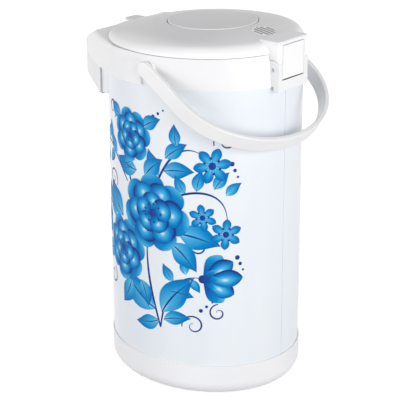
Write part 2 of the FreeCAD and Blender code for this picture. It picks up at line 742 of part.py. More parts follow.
def make_vent_grille():
    disc = drum(vent_radius, lid_bottom + 9, lid_top + 9, 0, vent_y)
    disc = disc.common(lid_form(-vent_proud, lid_bottom)).cut(lid_form(vent_sunk, lid_bottom - 1))
    for index in range(vent_slots):
        x = (index - (vent_slots - 1) / 2) * vent_pitch
        reach = math.sqrt((vent_radius - 1.8) ** 2 - x ** 2)
        half = vent_slot_width / 2
        slot = box(x - half, x + half, vent_y - reach + half, vent_y + reach - half, lid_bottom, lid_top + 9)
        slot = slot.fuse(drum(half, lid_bottom, lid_top + 9, x, vent_y - reach + half))
        slot = slot.fuse(drum(half, lid_bottom, lid_top + 9, x, vent_y + reach - half))
        disc = disc.cut(slot)
    return disc


def make_bellows():
    low = cup_floor_top
    high = press_low
    foot = low + bellows_flange
    head = high - bellows_flange
    step = (head - foot) / (2 * bellows_folds)
    outside = []
    inside = []
    for index in range(2 * bellows_folds + 1):
        radius = bellows_out if index % 2 else bellows_in
        outside.append((radius, foot + step * index))
        inside.append((radius - bellows_wall, foot + step * index))
    points = [(bellows_flange_in, low), (bellows_out, low), (bellows_out, foot)] + outside
    points += [(bellows_out, head), (bellows_out, high), (bellows_flange_in, high), (bellows_flange_in, head)]
    points += inside[::-1] + [(bellows_flange_in, foot)]
    return turned(points)


def coil_point(angle, pitch):
    return Vector(spring_radius * math.cos(angle), spring_radius * math.sin(angle), pitch * angle / math.tau)


def coil_way(angle, pitch):
    rise = pitch / math.tau
    return Vector(-spring_radius * math.sin(angle), spring_radius * math.cos(angle), rise).normalize()


def arc_under(start, corner, end):
    """The arc from start to end that is tangent to the two equal runs that meet at corner."""
    middle = (start + end) * 0.5
    half = (end - start).Length / 2
    height = (corner - middle).Length
    radius = half * (corner - start).Length / height
    rise = radius - math.sqrt(radius ** 2 - half ** 2)
    return Part.Arc(start, middle + (corner - middle) * (rise / height), end).toShape()


def make_bellows_spring():
    """One wire of tangent arcs, two to each quarter turn, from the cup floor to the press plate."""
    low = cup_floor_top + spring_wire + spring_end_gap
    high = lid_top - press_skin - 1 - spring_wire - spring_end_gap
    pitch = (high - low) / spring_turns
    arcs = []
    for quarter in range(spring_turns * 4):
        angle = quarter * math.pi / 2
        start, end = coil_point(angle, pitch), coil_point(angle + math.pi / 2, pitch)
        way, way_on = coil_way(angle, pitch), coil_way(angle + math.pi / 2, pitch)
        span = end - start
        along = span.dot(way + way_on)
        turn = 2 * (1 - way.dot(way_on))
        reach = (math.sqrt(along ** 2 + turn * span.dot(span)) - along) / turn
        first = start + way * reach
        second = end - way_on * reach
        meet = (first + second) * 0.5
        arcs += [arc_under(start, first, meet), arc_under(meet, second, end)]
    section = Part.Wire([Part.makeCircle(spring_wire, coil_point(0, pitch), coil_way(0, pitch))])
    coil = Part.Wire(arcs).makePipe(Part.Face(section))
    coil.translate(Vector(0, pump_y, low))
    print("spring gap between turns", round(pitch - 2 * spring_wire, 2))
    return coil


def make_check_valve():
    low = cup_floor_low - valve_gap - valve_disc
    disc = drum(valve_radius, low, low + valve_disc)
    stem = drum(valve_stem / 2, low + valve_disc, cup_floor_top)
    knob = Part.makeCone(valve_stem / 2 + 0.9, valve_stem / 2 - 0.4, 2.4, Vector(0, pump_y, cup_floor_top))
    return joined([disc, stem, knob])


def make_press_plate():
    plate = drum(press_radius, press_low, lid_top + 9).common(crown_ball(0))
    rim = [e for e in plate.Edges if e.BoundBox.ZMin > press_low + 1 and e.BoundBox.XLength > press_radius]
    plate = plate.makeFillet(press_round, rim)
    under = drum(press_radius - press_skirt, press_low - 1, lid_top + 9).common(crown_ball(press_skin))
    return plate.cut(under.cut(ring(bellows_out, bellows_flange_in, press_low - 2, lid_top)))


def make_latch_lever():
    skin = lid_form(0, lid_bottom).cut(lid_form(lid_wall, lid_bottom - 1))
    skin = skin.common(wide(latch_half_width, latch_lip_rear_y - 6, latch_rear_y, latch_lip_low, lid_top + 9))
    lip = wide(latch_half_width, latch_front_y, latch_lip_rear_y, latch_lip_low, latch_lip_low + latch_lip)
    lip = lip.makeFillet(4.0, upright_edges_at(lip, latch_half_width, latch_front_y))
    barrel = rod(latch_barrel, -latch_half_width, latch_half_width, latch_pin_y, latch_pin_z)
    stem = wide(latch_stem_half, latch_pin_y - latch_stem / 2, latch_pin_y + latch_stem / 2, latch_hook_low,
                latch_lip_low + latch_lip / 2)
    tooth = wide(latch_stem_half, latch_tooth_y, latch_pin_y, latch_hook_low, latch_hook_low + latch_tooth_high)
    lever = joined([lip, skin, barrel, stem, tooth])
    return lever.cut(rod(latch_pin_radius + 0.05, -30, 30, latch_pin_y, latch_pin_z))


def make_latch_pin():
    reach = latch_half_width + latch_gap + latch_cheek - 0.5
    return rod(latch_pin_radius, -reach, reach, latch_pin_y, latch_pin_z)


def make_release_lever():
    inner_y = hinge_face_y - release_thick
    plate = wide(release_half_width, inner_y, hinge_face_y, release_low, release_top)
    plate = plate.makeFillet(release_round, edges_along_x_at(plate, hinge_face_y, release_top)
                             + edges_along_x_at(plate, hinge_face_y, release_low))
    barrel = rod(release_barrel, -release_barrel_half, release_barrel_half, release_pin_y, release_pin_z)
    web = wide(release_barrel_half, release_pin_y, inner_y + 0.5, release_pin_z - release_barrel,
               release_pin_z + release_barrel)
    hook_top = hinge_z - hinge_pin_radius - release_hook_gap
    hook = wide(release_hook_half, release_hook_tip_y, inner_y + 0.5, hook_top - release_hook_thick, hook_top)
    lever = joined([plate, barrel, web, hook])
    return lever.cut(rod(release_pin_radius + 0.05, -30, 30, release_pin_y, release_pin_z))


def make_release_pin():
    return rod(release_pin_radius, -lug_out + 0.3, lug_out - 0.3, release_pin_y, release_pin_z)


def bail_outline(inset):
    """Half hoop in the plan of the handle before it is tilted: straight legs, then a half ellipse."""
    half = bail_half_width + bail_thick / 2 - inset
    reach = bail_reach + bail_thick / 2 - inset
    bow = reach - bail_straight
    middle = Vector(0, bail_straight, 0)
    side = Vector(half, bail_straight, 0)
    end = Vector(0, bail_straight + bow, 0)
    arc = Part.Ellipse(end, side, middle) if bow > half else Part.Ellipse(side, end, middle)
    disc = Part.Face(Part.Wire([arc.toShape()])).extrude(Vector(0, 0, bail_broad))
    return disc.fuse(wide(half, 0, bail_straight, 0, bail_broad)).removeSplitter()


def make_handle():
    hoop = bail_outline(0).cut(bail_outline(bail_thick))
    hoop = hoop.cut(wide(300, -300, 0, -9, bail_broad + 9))
    hoop.translate(Vector(0, 0, -bail_broad / 2))
    x0 = bail_half_width - bail_thick / 2
    x1 = bail_half_width + bail_thick / 2
    parts = [hoop]
    for a, b, c in ((x0, x1, trunnion_end), (-x1, -x0, -trunnion_end)):
        parts.append(rod(bail_broad / 2, a, b, 0, 0))
        stub = sorted((c, (a + b) / 2))
        parts.append(rod(trunnion_radius, stub[0], stub[1], 0, 0))
    bail = joined(parts)
    long_edges = [e for e in bail.Edges if abs(abs(e.BoundBox.ZMin) - bail_broad / 2) < 0.01
                  and e.BoundBox.ZLength < 0.01 and e.BoundBox.YLength > bail_straight - 1]
    bail = bail.makeFillet(bail_round, long_edges)
    for sign in (-1, 1):
        at = sorted((sign * (pad_inner - clip_gap), sign * (pad_inner - clip_gap - clip_thick)))
        groove = rod(trunnion_radius + 1, at[0], at[1], 0, 0)
        groove = groove.cut(rod(trunnion_radius - clip_groove, at[0] - 1, at[1] + 1, 0, 0))
        bail = bail.cut(groove)
    bail.rotate(Vector(0, 0, 0), Vector(1, 0, 0), -bail_droop)
    bail.translate(Vector(0, bail_y, bail_z))
    return bail


def make_handle_clips():
    clips = []
    for sign in (-1, 1):
        at = sorted((sign * (pad_inner - clip_gap), sign * (pad_inner - clip_gap - clip_thick)))
        clip = rod(clip_radius, at[0], at[1], bail_y, bail_z)
        clips.append(clip.cut(rod(trunnion_radius - clip_groove, at[0] - 1, at[1] + 1, bail_y, bail_z)))
    return Part.makeCompound(clips)


makers = {
    "body_shell": make_body_shell,
    "base_ring": make_base_ring,
    "bottom_cap": make_bottom_cap,
    "liner_cushion": make_liner_cushion,
    "outer_flask": make_outer_flask,
    "inner_flask": make_inner_flask,
    "neck_gasket": make_neck_gasket,
    "collar": make_collar,
    "spout_cover": make_spout_cover,
    "dip_tube": make_dip_tube,
    "tube_strainer": make_tube_strainer,
    "pour_pipe": make_pour_pipe,
    "nozzle": make_nozzle,
    "hinge_pin": make_hinge_pin,
    "lid_cover": make_lid_cover,
    "lid_base": make_lid_base,
    "lid_gasket": make_lid_gasket,
    "lid_screws": make_lid_screws,
    "vent_grille": make_vent_grille,
    "bellows": make_bellows,
    "bellows_spring": make_bellows_spring,
    "check_valve": make_check_valve,
    "press_plate": make_press_plate,
    "latch_lever": make_latch_lever,
    "latch_pin": make_latch_pin,
    "release_lever": make_release_lever,
    "release_pin": make_release_pin,
    "handle": make_handle,
    "handle_clips": make_handle_clips,
}

os.makedirs("parts", exist_ok=True)
for name, make in makers.items():
    shape = make()
    print(name, "solids", len(shape.Solids), "valid", shape.isValid(), "cm3", round(shape.Volume / 1000, 2))
    shape.exportStep("parts/" + name + ".step")
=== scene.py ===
# %% [markdown]
# # A pump pot, from its imported solids to a finished picture
# The pot is an oval metal can on a plastic base, with a moulded collar, a hinged pump lid and a bail handle.
# The rigid pieces come in from the imported model and stay as they are. This lesson gives them their
# finishes, lays a flower print on the body, and makes the pump's bellows and coil, the fine forms of the lid
# and the smooth flanks of the nose.

# %% Load the frame
import json
import math
import bmesh
import bpy
import numpy as np
from mathutils import Matrix, Vector


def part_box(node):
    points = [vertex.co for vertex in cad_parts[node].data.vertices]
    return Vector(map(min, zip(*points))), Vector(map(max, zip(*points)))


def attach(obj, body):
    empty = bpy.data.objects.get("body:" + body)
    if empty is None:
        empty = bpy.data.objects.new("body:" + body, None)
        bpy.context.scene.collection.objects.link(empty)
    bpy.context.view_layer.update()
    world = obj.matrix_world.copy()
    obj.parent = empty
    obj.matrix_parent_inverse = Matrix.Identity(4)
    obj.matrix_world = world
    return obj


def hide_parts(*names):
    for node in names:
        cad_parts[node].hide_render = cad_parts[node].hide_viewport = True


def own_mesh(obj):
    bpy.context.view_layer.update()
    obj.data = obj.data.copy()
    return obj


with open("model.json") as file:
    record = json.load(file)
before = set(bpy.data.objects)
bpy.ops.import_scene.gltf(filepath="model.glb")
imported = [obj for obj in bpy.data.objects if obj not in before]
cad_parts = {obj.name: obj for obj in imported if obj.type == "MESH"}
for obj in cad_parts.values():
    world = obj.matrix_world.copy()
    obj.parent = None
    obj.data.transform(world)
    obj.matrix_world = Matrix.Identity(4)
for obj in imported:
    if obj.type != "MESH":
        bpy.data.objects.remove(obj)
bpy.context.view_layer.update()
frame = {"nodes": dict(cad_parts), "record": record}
nodes = frame["nodes"]
MM = 0.001

# %% [markdown]
# ## The camera
# The photograph was taken from behind the pot's right side, a little above the lid. A camera could be
# placed by eye, but then no outline could be trusted. Here the lens and the place were fitted to the
# body's oval, the lid and the base, so they are written as numbers: a position, and the picture's right
# and up directions, from which the third direction follows.

# %% Camera
SENSOR_MM = 36.0
PHOTO_PIXELS = 400
FOCAL_PIXELS = 1438.01
CAMERA_SPOT = Vector((1.13365538, 0.93306964, 0.72827439))
PICTURE_RIGHT = Vector((-0.63761472, 0.77035, -0.00288839))
PICTURE_UP = Vector((-0.2681931, -0.21846405, 0.93826751))

axes = Matrix((PICTURE_RIGHT, PICTURE_UP, PICTURE_RIGHT.cross(PICTURE_UP)))
pose = axes.transposed().to_4x4()
pose.translation = CAMERA_SPOT
lens = bpy.data.cameras.new("photo_camera")
lens.sensor_width = SENSOR_MM
lens.lens = SENSOR_MM * FOCAL_PIXELS / PHOTO_PIXELS
lens.clip_end = 50.0
camera = bpy.data.objects.new("photo_camera", lens)
bpy.context.collection.objects.link(camera)
camera.matrix_world = pose
bpy.context.scene.camera = camera
bpy.context.scene.view_settings.view_transform = "Standard"
print("lens mm", round(lens.lens, 1))

# %% [markdown]
# ## Shader maths as Python
# A finish can be wired node by node, but it is easier to read as a formula. This class wraps one socket.
# An operator on it adds a Math node, and `make` adds any other node: its type, its settings, then the
# values or links of its sockets.

# %% The socket wrapper
class Tone:
    """One output socket in a material's node tree."""

    def __init__(self, tree, socket=None):
        self.tree = tree
        self.socket = socket

    def make(self, kind, settings=None, inputs=None, output=0):
        node = self.tree.nodes.new(kind)
        for name, value in (settings or {}).items():
            if name == "stops":
                ramp = node.color_ramp
                while len(ramp.elements) < len(value):
                    ramp.elements.new(0.5)
                for element, (share, colour) in zip(ramp.elements, value):
                    element.position = share
                    element.color = colour
            else:
                setattr(node, name, value)
        for key, value in (inputs or {}).items():
            if isinstance(value, Tone):
                self.tree.links.new(value.socket, node.inputs[key])
            else:
                node.inputs[key].default_value = value
        return Tone(self.tree, node.outputs[output] if len(node.outputs) else None)

    def also(self, output):
        """Another output of the same node."""
        return Tone(self.tree, self.socket.node.outputs[output])

    def math(self, operation, first, second=0.0):
        return self.make("ShaderNodeMath", {"operation": operation}, {0: first, 1: second})

    def __add__(self, other):
        return self.math("ADD", self, other)

    def __sub__(self, other):
        return self.math("SUBTRACT", self, other)

    def __rsub__(self, other):
        return self.math("SUBTRACT", other, self)

    def __mul__(self, other):
        return self.math("MULTIPLY", self, other)

    def __pow__(self, other):
        return self.math("POWER", self, other)

    __radd__ = __add__
    __rmul__ = __mul__

    def size(self):
        return self.math("ABSOLUTE", self)

    def ease(self, low, high):
        """0 at low, 1 at high, eased between."""
        return self.make("ShaderNodeMapRange", {"interpolation_type": "SMOOTHSTEP"},
                         {"Value": self, "From Min": low, "From Max": high})

    def blend(self, first, second):
        """A colour that goes from first to second as this value goes from 0 to 1."""
        return self.make("ShaderNodeMix", {"data_type": "RGBA"}, {0: self, 6: first, 7: second}, 2)


def rgb(red, green, blue):
    """A colour as seen on screen, 0 to 255, as the linear colour that shaders use."""
    out = []
    for value in (red, green, blue):
        value /= 255
        out.append(value / 12.92 if value <= 0.04045 else ((value + 0.055) / 1.055) ** 2.4)
    return (*out, 1.0)


# %% [markdown]
# ## Starting a finish
# Every finish has the same skeleton: a Principled shader, a colour, a roughness and a fine bump. Image
# textures could carry these, but noise on Object coordinates has no seams and needs no unwrapping. The
# helper makes the skeleton, so that each finish only states what is special.

# %% New finishes
BUMP_DEPTH = 0.0005


def new_finish(name, colour, roughness, bump=None, height=0.1, **fixed):
    """A material from functions of its tree; values that stay the same are set on the shader itself."""
    material = bpy.data.materials.new(name)
    material.use_nodes = True
    tree = material.node_tree
    tree.nodes.clear()
    base = Tone(tree)
    inputs = {"Base Color": colour(base), "Roughness": roughness(base)}
    inputs.update({key.replace("_", " "): value for key, value in fixed.items()})
    if bump:
        inputs["Normal"] = base.make("ShaderNodeBump", None,
                                     {"Strength": height, "Distance": BUMP_DEPTH, "Height": bump(base)})
    shader = base.make("ShaderNodeBsdfPrincipled", None, inputs)
    base.make("ShaderNodeOutputMaterial", None, {"Surface": shader})
    return material


def place(base):
    return base.make("ShaderNodeTexCoord", None, None, "Object")


def speckle(base, scale, detail=4.0):
    return base.make("ShaderNodeTexNoise", None, {"Vector": place(base), "Scale": scale, "Detail": detail})


def stretched(base, scale, stretch):
    """Noise drawn out along one direction, for brushed or moulded streaks."""
    turned = base.make("ShaderNodeMapping", None, {"Vector": place(base), "Scale": stretch})
    return base.make("ShaderNodeTexNoise", None, {"Vector": turned, "Scale": scale, "Detail": 3.0})


# %% [markdown]
# ## Plastics
# The collar, handle and base are moulded white plastics. One flat white would do from far away, but a
# real moulding drifts a little in colour over a hand's width, and its very fine spark texture breaks up
# the gloss. Both come from noise at two scales.

# %% Moulded plastics
GLOSS_SPREAD = 0.10
GLOSSY = {"Coat_Weight": 0.08, "Coat_Roughness": 0.2}


def drift(base):
    """0 to 1 in soft patches, about a hand's width across."""
    return speckle(base, 9.0, 2.0).ease(0.3, 0.7)


def plain(colour, fall=0.03):
    """One moulded colour, which drifts to a slightly darker one."""
    shade = tuple(max(0.0, value - fall) for value in colour[:3]) + (1.0,)
    return lambda base: drift(base).blend(colour, shade)


def moulded(name, colour, roughness, grain=900.0, **fixed):
    """A plastic with a patchy gloss round one roughness, and a spark texture."""
    return new_finish(
        name, colour,
        lambda base: speckle(base, 60.0) * GLOSS_SPREAD + (roughness - GLOSS_SPREAD / 2),
        lambda base: speckle(base, grain, 6.0), 0.08, **fixed)


white_plastic = moulded("white_plastic", plain(rgb(239, 239, 240)), 0.34, **GLOSSY)
# The press plate's grey is painted shade, matching the painted shade on the lid's crown.
press_plastic = moulded("press_plastic", plain(rgb(222, 222, 224)), 0.36)
lever_plastic = moulded("lever_plastic", plain(rgb(248, 248, 248)), 0.36)
handle_plastic = moulded("handle_plastic", plain(rgb(236, 236, 236)), 0.33, **GLOSSY)
base_plastic = moulded("base_plastic", plain(rgb(239, 239, 241)), 0.40)
inner_plastic = moulded("inner_plastic", plain(rgb(220, 220, 223), 0.05), 0.48, 500.0)
print("plastics", white_plastic.name, "to", inner_plastic.name)

# %% [markdown]
# ## Painted light and shade on the lid
# The lid is one moulding, yet under the side light its crown looks grey and its rounded shoulder almost
# white. Here that light and shade is painted into its colour. Two materials would leave a hard seam between
# them. One finish that reads the height of the point goes softly from the painted highlight on the shoulder
# to the painted shade on the crown. The crown's painted shade lightens toward the hinge. The edge between
# them dips toward the front.

# %% Lid plastic, with painted light and shade
# Edges of the painted light and shade: heights between shoulder and crown, and places along the lid where
# the crown's painted shade lightens
SHOULDER_TOP, CROWN_FOOT = 0.3795, 0.3850
CROWN_MIDDLE, CROWN_REAR = 0.03, 0.10
EDGE_DIP = 1.44


def lid_place(base):
    """How far back and how high a point of the lid lies, in metres."""
    spot = base.make("ShaderNodeSeparateXYZ", None, {"Vector": place(base)})
    return spot.also(1), spot.also(2)


def painted_shade_share(base):
    """1 on the lid's crown, where grey shade is painted; 0 on its shoulder, where a near-white highlight is
    painted.
    """
    along, height = lid_place(base)
    front = base.math("MINIMUM", along, 0.0)
    return (height + front * front * EDGE_DIP).ease(SHOULDER_TOP, CROWN_FOOT)


# Painted light and shade: a near-white painted highlight on the shoulder, and a grey painted shade on the
# crown that lightens toward the hinge.
def lid_painted_light_colour(base):
    along = lid_place(base)[0]
    painted_grey_shade = drift(base).blend(rgb(223, 223, 225), rgb(219, 219, 221))
    painted_crown_shade = along.ease(CROWN_MIDDLE, CROWN_REAR).blend(painted_grey_shade, rgb(237, 237, 239))
    return painted_shade_share(base).blend(rgb(247, 247, 248), painted_crown_shade)


lid_painted_light_plastic = moulded("lid_painted_light_plastic", lid_painted_light_colour, 0.36, **GLOSSY)
print("lid finish", lid_painted_light_plastic.name)

# %% [markdown]
# ## Metal, glass and rubber
# The body is coated steel with a pearl lacquer: a cool white whose colour shifts in soft upright bands,
# with a grain far finer than the eye resolves. The pins and springs are bright steel with drawn streaks.
# The liner is silvered glass. A clear glass would need many more light paths, so it is a mirror under a
# thin clear layer. Rubber is dull and a little mottled.

# %% The other finishes
UPRIGHT, DRAWN = (1.0, 1.0, 0.12), (0.1, 1.0, 1.0)


def pearl_bands(base):
    bands = stretched(base, 14.0, UPRIGHT).ease(0.32, 0.68)
    return bands.blend(rgb(233, 237, 241), rgb(227, 232, 238))


pearl_lacquer = new_finish(
    "pearl_lacquer", pearl_bands,
    lambda base: speckle(base, 700.0, 2.0) * 0.12 + 0.26,
    lambda base: speckle(base, 2600.0, 2.0), 0.05, Coat_Weight=0.25, Coat_Roughness=0.12)
drawn_steel = new_finish(
    "drawn_steel",
    lambda base: speckle(base, 120.0).blend(rgb(196, 198, 202), rgb(170, 172, 178)),
    lambda base: stretched(base, 300.0, DRAWN) * 0.2 + 0.16,
    lambda base: stretched(base, 800.0, DRAWN), 0.1, Metallic=1.0)
silvered_glass = new_finish(
    "silvered_glass",
    lambda base: speckle(base, 6.0).blend(rgb(214, 219, 224), rgb(196, 203, 210)),
    lambda base: speckle(base, 30.0) * 0.06 + 0.05,
    Metallic=0.9, Coat_Weight=1.0, Coat_Roughness=0.03)
pale_rubber = new_finish(
    "pale_rubber",
    lambda base: speckle(base, 80.0).blend(rgb(206, 205, 200), rgb(188, 187, 182)),
    lambda base: speckle(base, 200.0) * 0.15 + 0.62,
    lambda base: speckle(base, 1400.0), 0.12)
print("other finishes", pearl_lacquer.name, drawn_steel.name, silvered_glass.name, pale_rubber.name)

# %% [markdown]
# ## Finishes on the solids
# Each solid's record names a material slot. One table from slots to finishes dresses all of them. Only the
# lid's cover and its latch share a slot with the collar and still need the lid's finish, with its painted
# light and shade.

# %% Dress the solids
# The vent's grille takes the lid's finish, with its painted light and shade.
finishes = {
    "body_enamel": pearl_lacquer, "base_plastic": base_plastic, "white_plastic": white_plastic,
    "press_plastic": press_plastic, "vent_plastic": lid_painted_light_plastic, "lever_plastic": lever_plastic,
    "handle_plastic": handle_plastic, "inner_plastic": inner_plastic, "liner_glass": silvered_glass,
    "rubber": pale_rubber, "bellows_rubber": pale_rubber, "steel": drawn_steel,
}
for part in frame["record"]["subparts"]:
    materials = nodes[part["node"]].data.materials
    materials.clear()
    materials.append(finishes[part["material_slot"]])
# The lid's cover and latch take the finish with painted light and shade.
for name in ("lid_cover", "latch_lever"):
    nodes[name].data.materials[0] = lid_painted_light_plastic
print("finishes given to", len(nodes), "solids")

# %% [markdown]
# ## The print's paints
# The body carries a blue and white flower print. Painted flowers of this kind are made of loaded brush
# strokes: one side or end of a stroke is dark, and it fades to almost white. A picture laid on the body
# would blur close up. Each stroke below is a piece of mesh with a UV map that runs along and across it, so
# a paint is a formula on those two values. A little stretched noise leaves brush hairs in the fade.

# %% Brush paints
NAVY = rgb(30, 50, 126)
COBALT = rgb(8, 90, 166)
AZURE = rgb(0, 134, 198)
SKY = rgb(78, 175, 218)
MIST = rgb(206, 230, 244)
HAIR_STRETCH = (1.5, 14.0, 1.0)


def brush_paint(name, tone, stops):
    """A paint whose colour follows tone(along, across, hairs) through the stops."""
    def colour(base):
        chart = base.make("ShaderNodeUVMap", {"uv_map": "stroke"})
        along = base.make("ShaderNodeSeparateXYZ", None, {"Vector": chart})
        drawn = base.make("ShaderNodeMapping", None, {"Vector": chart, "Scale": HAIR_STRETCH})
        hairs = base.make("ShaderNodeTexNoise", None, {"Vector": drawn, "Scale": 2.0, "Detail": 3.0}) - 0.5
        return base.make("ShaderNodeValToRGB", {"stops": stops}, {"Fac": tone(along, along.also(1), hairs)})
    return new_finish(name, colour, lambda base: speckle(base, 500.0) * 0.1 + 0.42,
                      Specular_IOR_Level=0.12)


petal_paint = brush_paint(
    "petal_paint",
    lambda along, across, hairs: (((along - 0.55) * 1.7) ** 2 + ((across - 0.42) * 1.9) ** 2) ** 0.5
    + hairs * 0.16,
    [(0.0, MIST), (0.22, SKY), (0.55, AZURE), (0.84, COBALT), (1.0, NAVY)])
deep_paint = brush_paint(
    "deep_paint", lambda along, across, hairs: along + (across - 0.5) * 0.25 + hairs * 0.2,
    [(0.0, NAVY), (0.35, COBALT), (0.75, AZURE), (1.0, SKY)])
leaf_paint = brush_paint(
    "leaf_paint",
    lambda along, across, hairs: along * 0.62 + (across - 0.5).size() * 0.55 + hairs * 0.2,
    [(0.0, MIST), (0.2, SKY), (0.5, AZURE), (0.8, COBALT), (1.0, COBALT)])
line_paint = brush_paint(
    "line_paint", lambda along, across, hairs: along * 0.6 + hairs * 0.2, [(0.0, NAVY), (1.0, COBALT)])
PAINTS = [petal_paint, deep_paint, leaf_paint, line_paint]
PETAL, DEEP, LEAF, LINE = range(4)
print("paints", [paint.name for paint in PAINTS])

# %% [markdown]
# ## Wrapping a drawing round the body
# The print follows the oval can. It could be projected from one side, but then it would stretch toward
# the back. Here the drawing's first axis is the distance along the oval, from the middle of the side
# toward the back, and the second is the height, so nothing stretches. The oval has no simple formula for
# its length, so a fine table gives it.

# %% The body's oval
BODY_HALF_WIDTH = 95.0
BODY_HALF_DEPTH = 107.5
turns = np.linspace(-math.pi, math.pi, 4001)
oval_steps = np.hypot(np.diff(BODY_HALF_WIDTH * np.cos(turns)), np.diff(BODY_HALF_DEPTH * np.sin(turns)))
lengths = np.concatenate([[0.0], np.cumsum(oval_steps)])
lengths -= lengths[len(turns) // 2]


def on_body(along, height, lift):
    turn = float(np.interp(along, lengths, turns))
    out = Vector((math.cos(turn) / BODY_HALF_WIDTH, math.sin(turn) / BODY_HALF_DEPTH, 0)).normalized()
    spot = Vector((BODY_HALF_WIDTH * math.cos(turn), BODY_HALF_DEPTH * math.sin(turn), height))
    return (spot + out * lift) * MM


print("girth of the body mm", round(lengths[-1] - lengths[0], 1))

# %% [markdown]
# ## Spines and outlines of the strokes
# A stroke has a spine, which is a curve from its start to its end, and an outline, which is its breadth on
# the way. Both are functions of 0 to 1. A few kinds of each are enough for a whole bouquet.

# %% Spines and outlines
def smooth_line(points):
    """A curve drawn by its control points."""
    def at(t):
        level = [Vector(p) for p in points]
        while len(level) > 1:
            level = [a.lerp(b, t) for a, b in zip(level, level[1:])]
        return level[0]
    return at


def spot_round(centre, angle, reach):
    """The point at an angle in degrees, and at a distance, from a centre."""
    turn = math.radians(angle)
    return Vector((centre[0] + reach * math.cos(turn), centre[1] + reach * math.sin(turn)))


def curl(centre, radius, start, sweep, tight=0.82):
    """A spiral that starts at an angle in degrees and closes in as it turns."""
    return lambda t: spot_round(centre, start + sweep * t, radius * (1 - tight * t))


def full(t):
    """A round outline."""
    return math.sqrt(max(0.0, 1 - (2 * t - 1) ** 2))


def drop(t):
    """Narrow at the root, full near the tip."""
    return abs(math.sin(math.pi * t ** 1.5)) ** 0.75


def pointed(t):
    """A leaf outline with a sharp tip."""
    return abs(math.sin(math.pi * t ** 0.8)) ** 1.15


def taper(t):
    """A line that swells a little after its start and thins out."""
    return 0.35 + 0.65 * math.sin(math.pi * min(1.0, t + 0.15))


# %% [markdown]
# ## One brush stroke
# A stroke starts as a small grid, because the grid operator also makes the UV map that the paints read.
# Its length follows the spine and its breadth the outline. The cells are about 1.6 mm, so that a stroke
# follows the body closely under later ones. Each later layer lies a hair further out, so that overlaps
# read as painted one over another.

# %% Brush strokes
STROKE_CELL = 1.6
SPINE_MARKS = 24


def stroke(sheet, spine, half, profile, paint, layer):
    """Add one stroke to the sheet, still flat: x is along the body, y is the height, z is the layer."""
    marks = [spine(i / SPINE_MARKS) for i in range(SPINE_MARKS + 1)]
    length = sum((b - a).length for a, b in zip(marks, marks[1:]))
    grid = bmesh.ops.create_grid(sheet, x_segments=max(8, round(length / STROKE_CELL)),
                                 y_segments=max(2, round(half * 2 / STROKE_CELL)), size=0.5, calc_uvs=True)
    for vert in grid["verts"]:
        t = vert.co.x + 0.5
        side = vert.co.y * 2
        way = spine(min(1.0, t + 0.01)) - spine(max(0.0, t - 0.01))
        way = way.normalized() if way.length > 1e-9 else Vector((1, 0))
        edge = spine(t) + Vector((-way.y, way.x)) * (side * half * profile(min(1.0, max(0.0, t))))
        vert.co = (edge.x, edge.y, layer)
        for face in vert.link_faces:
            face.material_index = paint


def petal(sheet, root, angle, length, half, paint, layer, profile=full, bend=0.0):
    way = spot_round((0, 0), angle, 1.0)
    side = Vector((-way.y, way.x))
    root = Vector(root)
    spine = smooth_line([root, root + way * length * 0.5 + side * bend * length, root + way * length])
    stroke(sheet, spine, half, profile, paint, layer)


def dot(sheet, spot, radius, layer):
    petal(sheet, (spot[0] - radius, spot[1]), 0, radius * 2, radius, LINE, layer)


# %% [markdown]
# ## Flowers, leaves and curls
# The bouquet is built from a few repeated motifs, as folk painters do: a full blossom in three rounds of
# petals, a small open star flower, a fan-shaped bud, a pointed leaf with its midrib, and curls. Sizes
# inside a motif are shares of its own radius or length, so that one function serves every size.

# %% Motifs
BLOSSOM_ROUNDS = ((7, 0.50, 0.62, 0.36, DEEP), (6, 0.28, 0.62, 0.36, PETAL), (5, 0.04, 0.52, 0.30, PETAL))


def ring_of_dots(sheet, centre, turn, count, reach, radius, layer):
    for index in range(count):
        dot(sheet, spot_round(centre, turn + index * 360 / count, reach), radius, layer)


def blossom(sheet, centre, radius, turn, layer):
    for number, (count, start, length, half, paint) in enumerate(BLOSSOM_ROUNDS):
        for index in range(count):
            angle = turn + number * 27 + index * 360 / count
            root = spot_round(centre, angle, radius * start * 0.8)
            petal(sheet, root, angle, radius * length, radius * half, paint, layer + number * 7 + index)
    for index in range(5):
        petal(sheet, centre, turn + 72 * index + 36, radius * 0.3, radius * 0.1, DEEP, layer + 19, drop)
    dot(sheet, centre, radius * 0.1, layer + 21)
    ring_of_dots(sheet, centre, turn, 9, radius * 0.24, radius * 0.032, layer + 21)


def star_flower(sheet, centre, radius, turn, layer):
    for index in range(6):
        petal(sheet, centre, turn + index * 60, radius, radius * 0.27, LEAF, layer + index, drop)
    dot(sheet, centre, radius * 0.2, layer + 7)
    ring_of_dots(sheet, centre, turn + 30, 6, radius * 0.42, radius * 0.07, layer + 8)


def fan_bud(sheet, root, angle, length, layer):
    for index, lean in enumerate((-52, 52, -30, 30, 0)):
        paint = PETAL if index > 1 else DEEP
        size = length * (1.0 - abs(lean) / 260)
        petal(sheet, root, angle + lean, size, length * 0.24, paint, layer + index, drop)
    for index, lean in enumerate((-38, 0, 38)):
        petal(sheet, root, angle + lean, length * 0.42, length * 0.1, DEEP, layer + 6 + index, pointed)
    dot(sheet, root, length * 0.11, layer + 10)


def leaf(sheet, root, angle, length, half, layer, bend=0.12, rib=True):
    petal(sheet, root, angle, length, half, LEAF, layer, pointed, bend)
    if rib:
        petal(sheet, root, angle, length * 0.86, half * 0.07, LINE, layer + 1, taper, bend)


# %% [markdown]
# ## The bouquet's plan
# The arrangement is the lesson's own: stems rise from one foot, the largest blossoms lie near the middle,
# and small leaves and curls fill the gaps. The lists give places in millimetres along the body and above
# the table, angles in degrees and sizes in millimetres, so that a motif can be moved without new code.

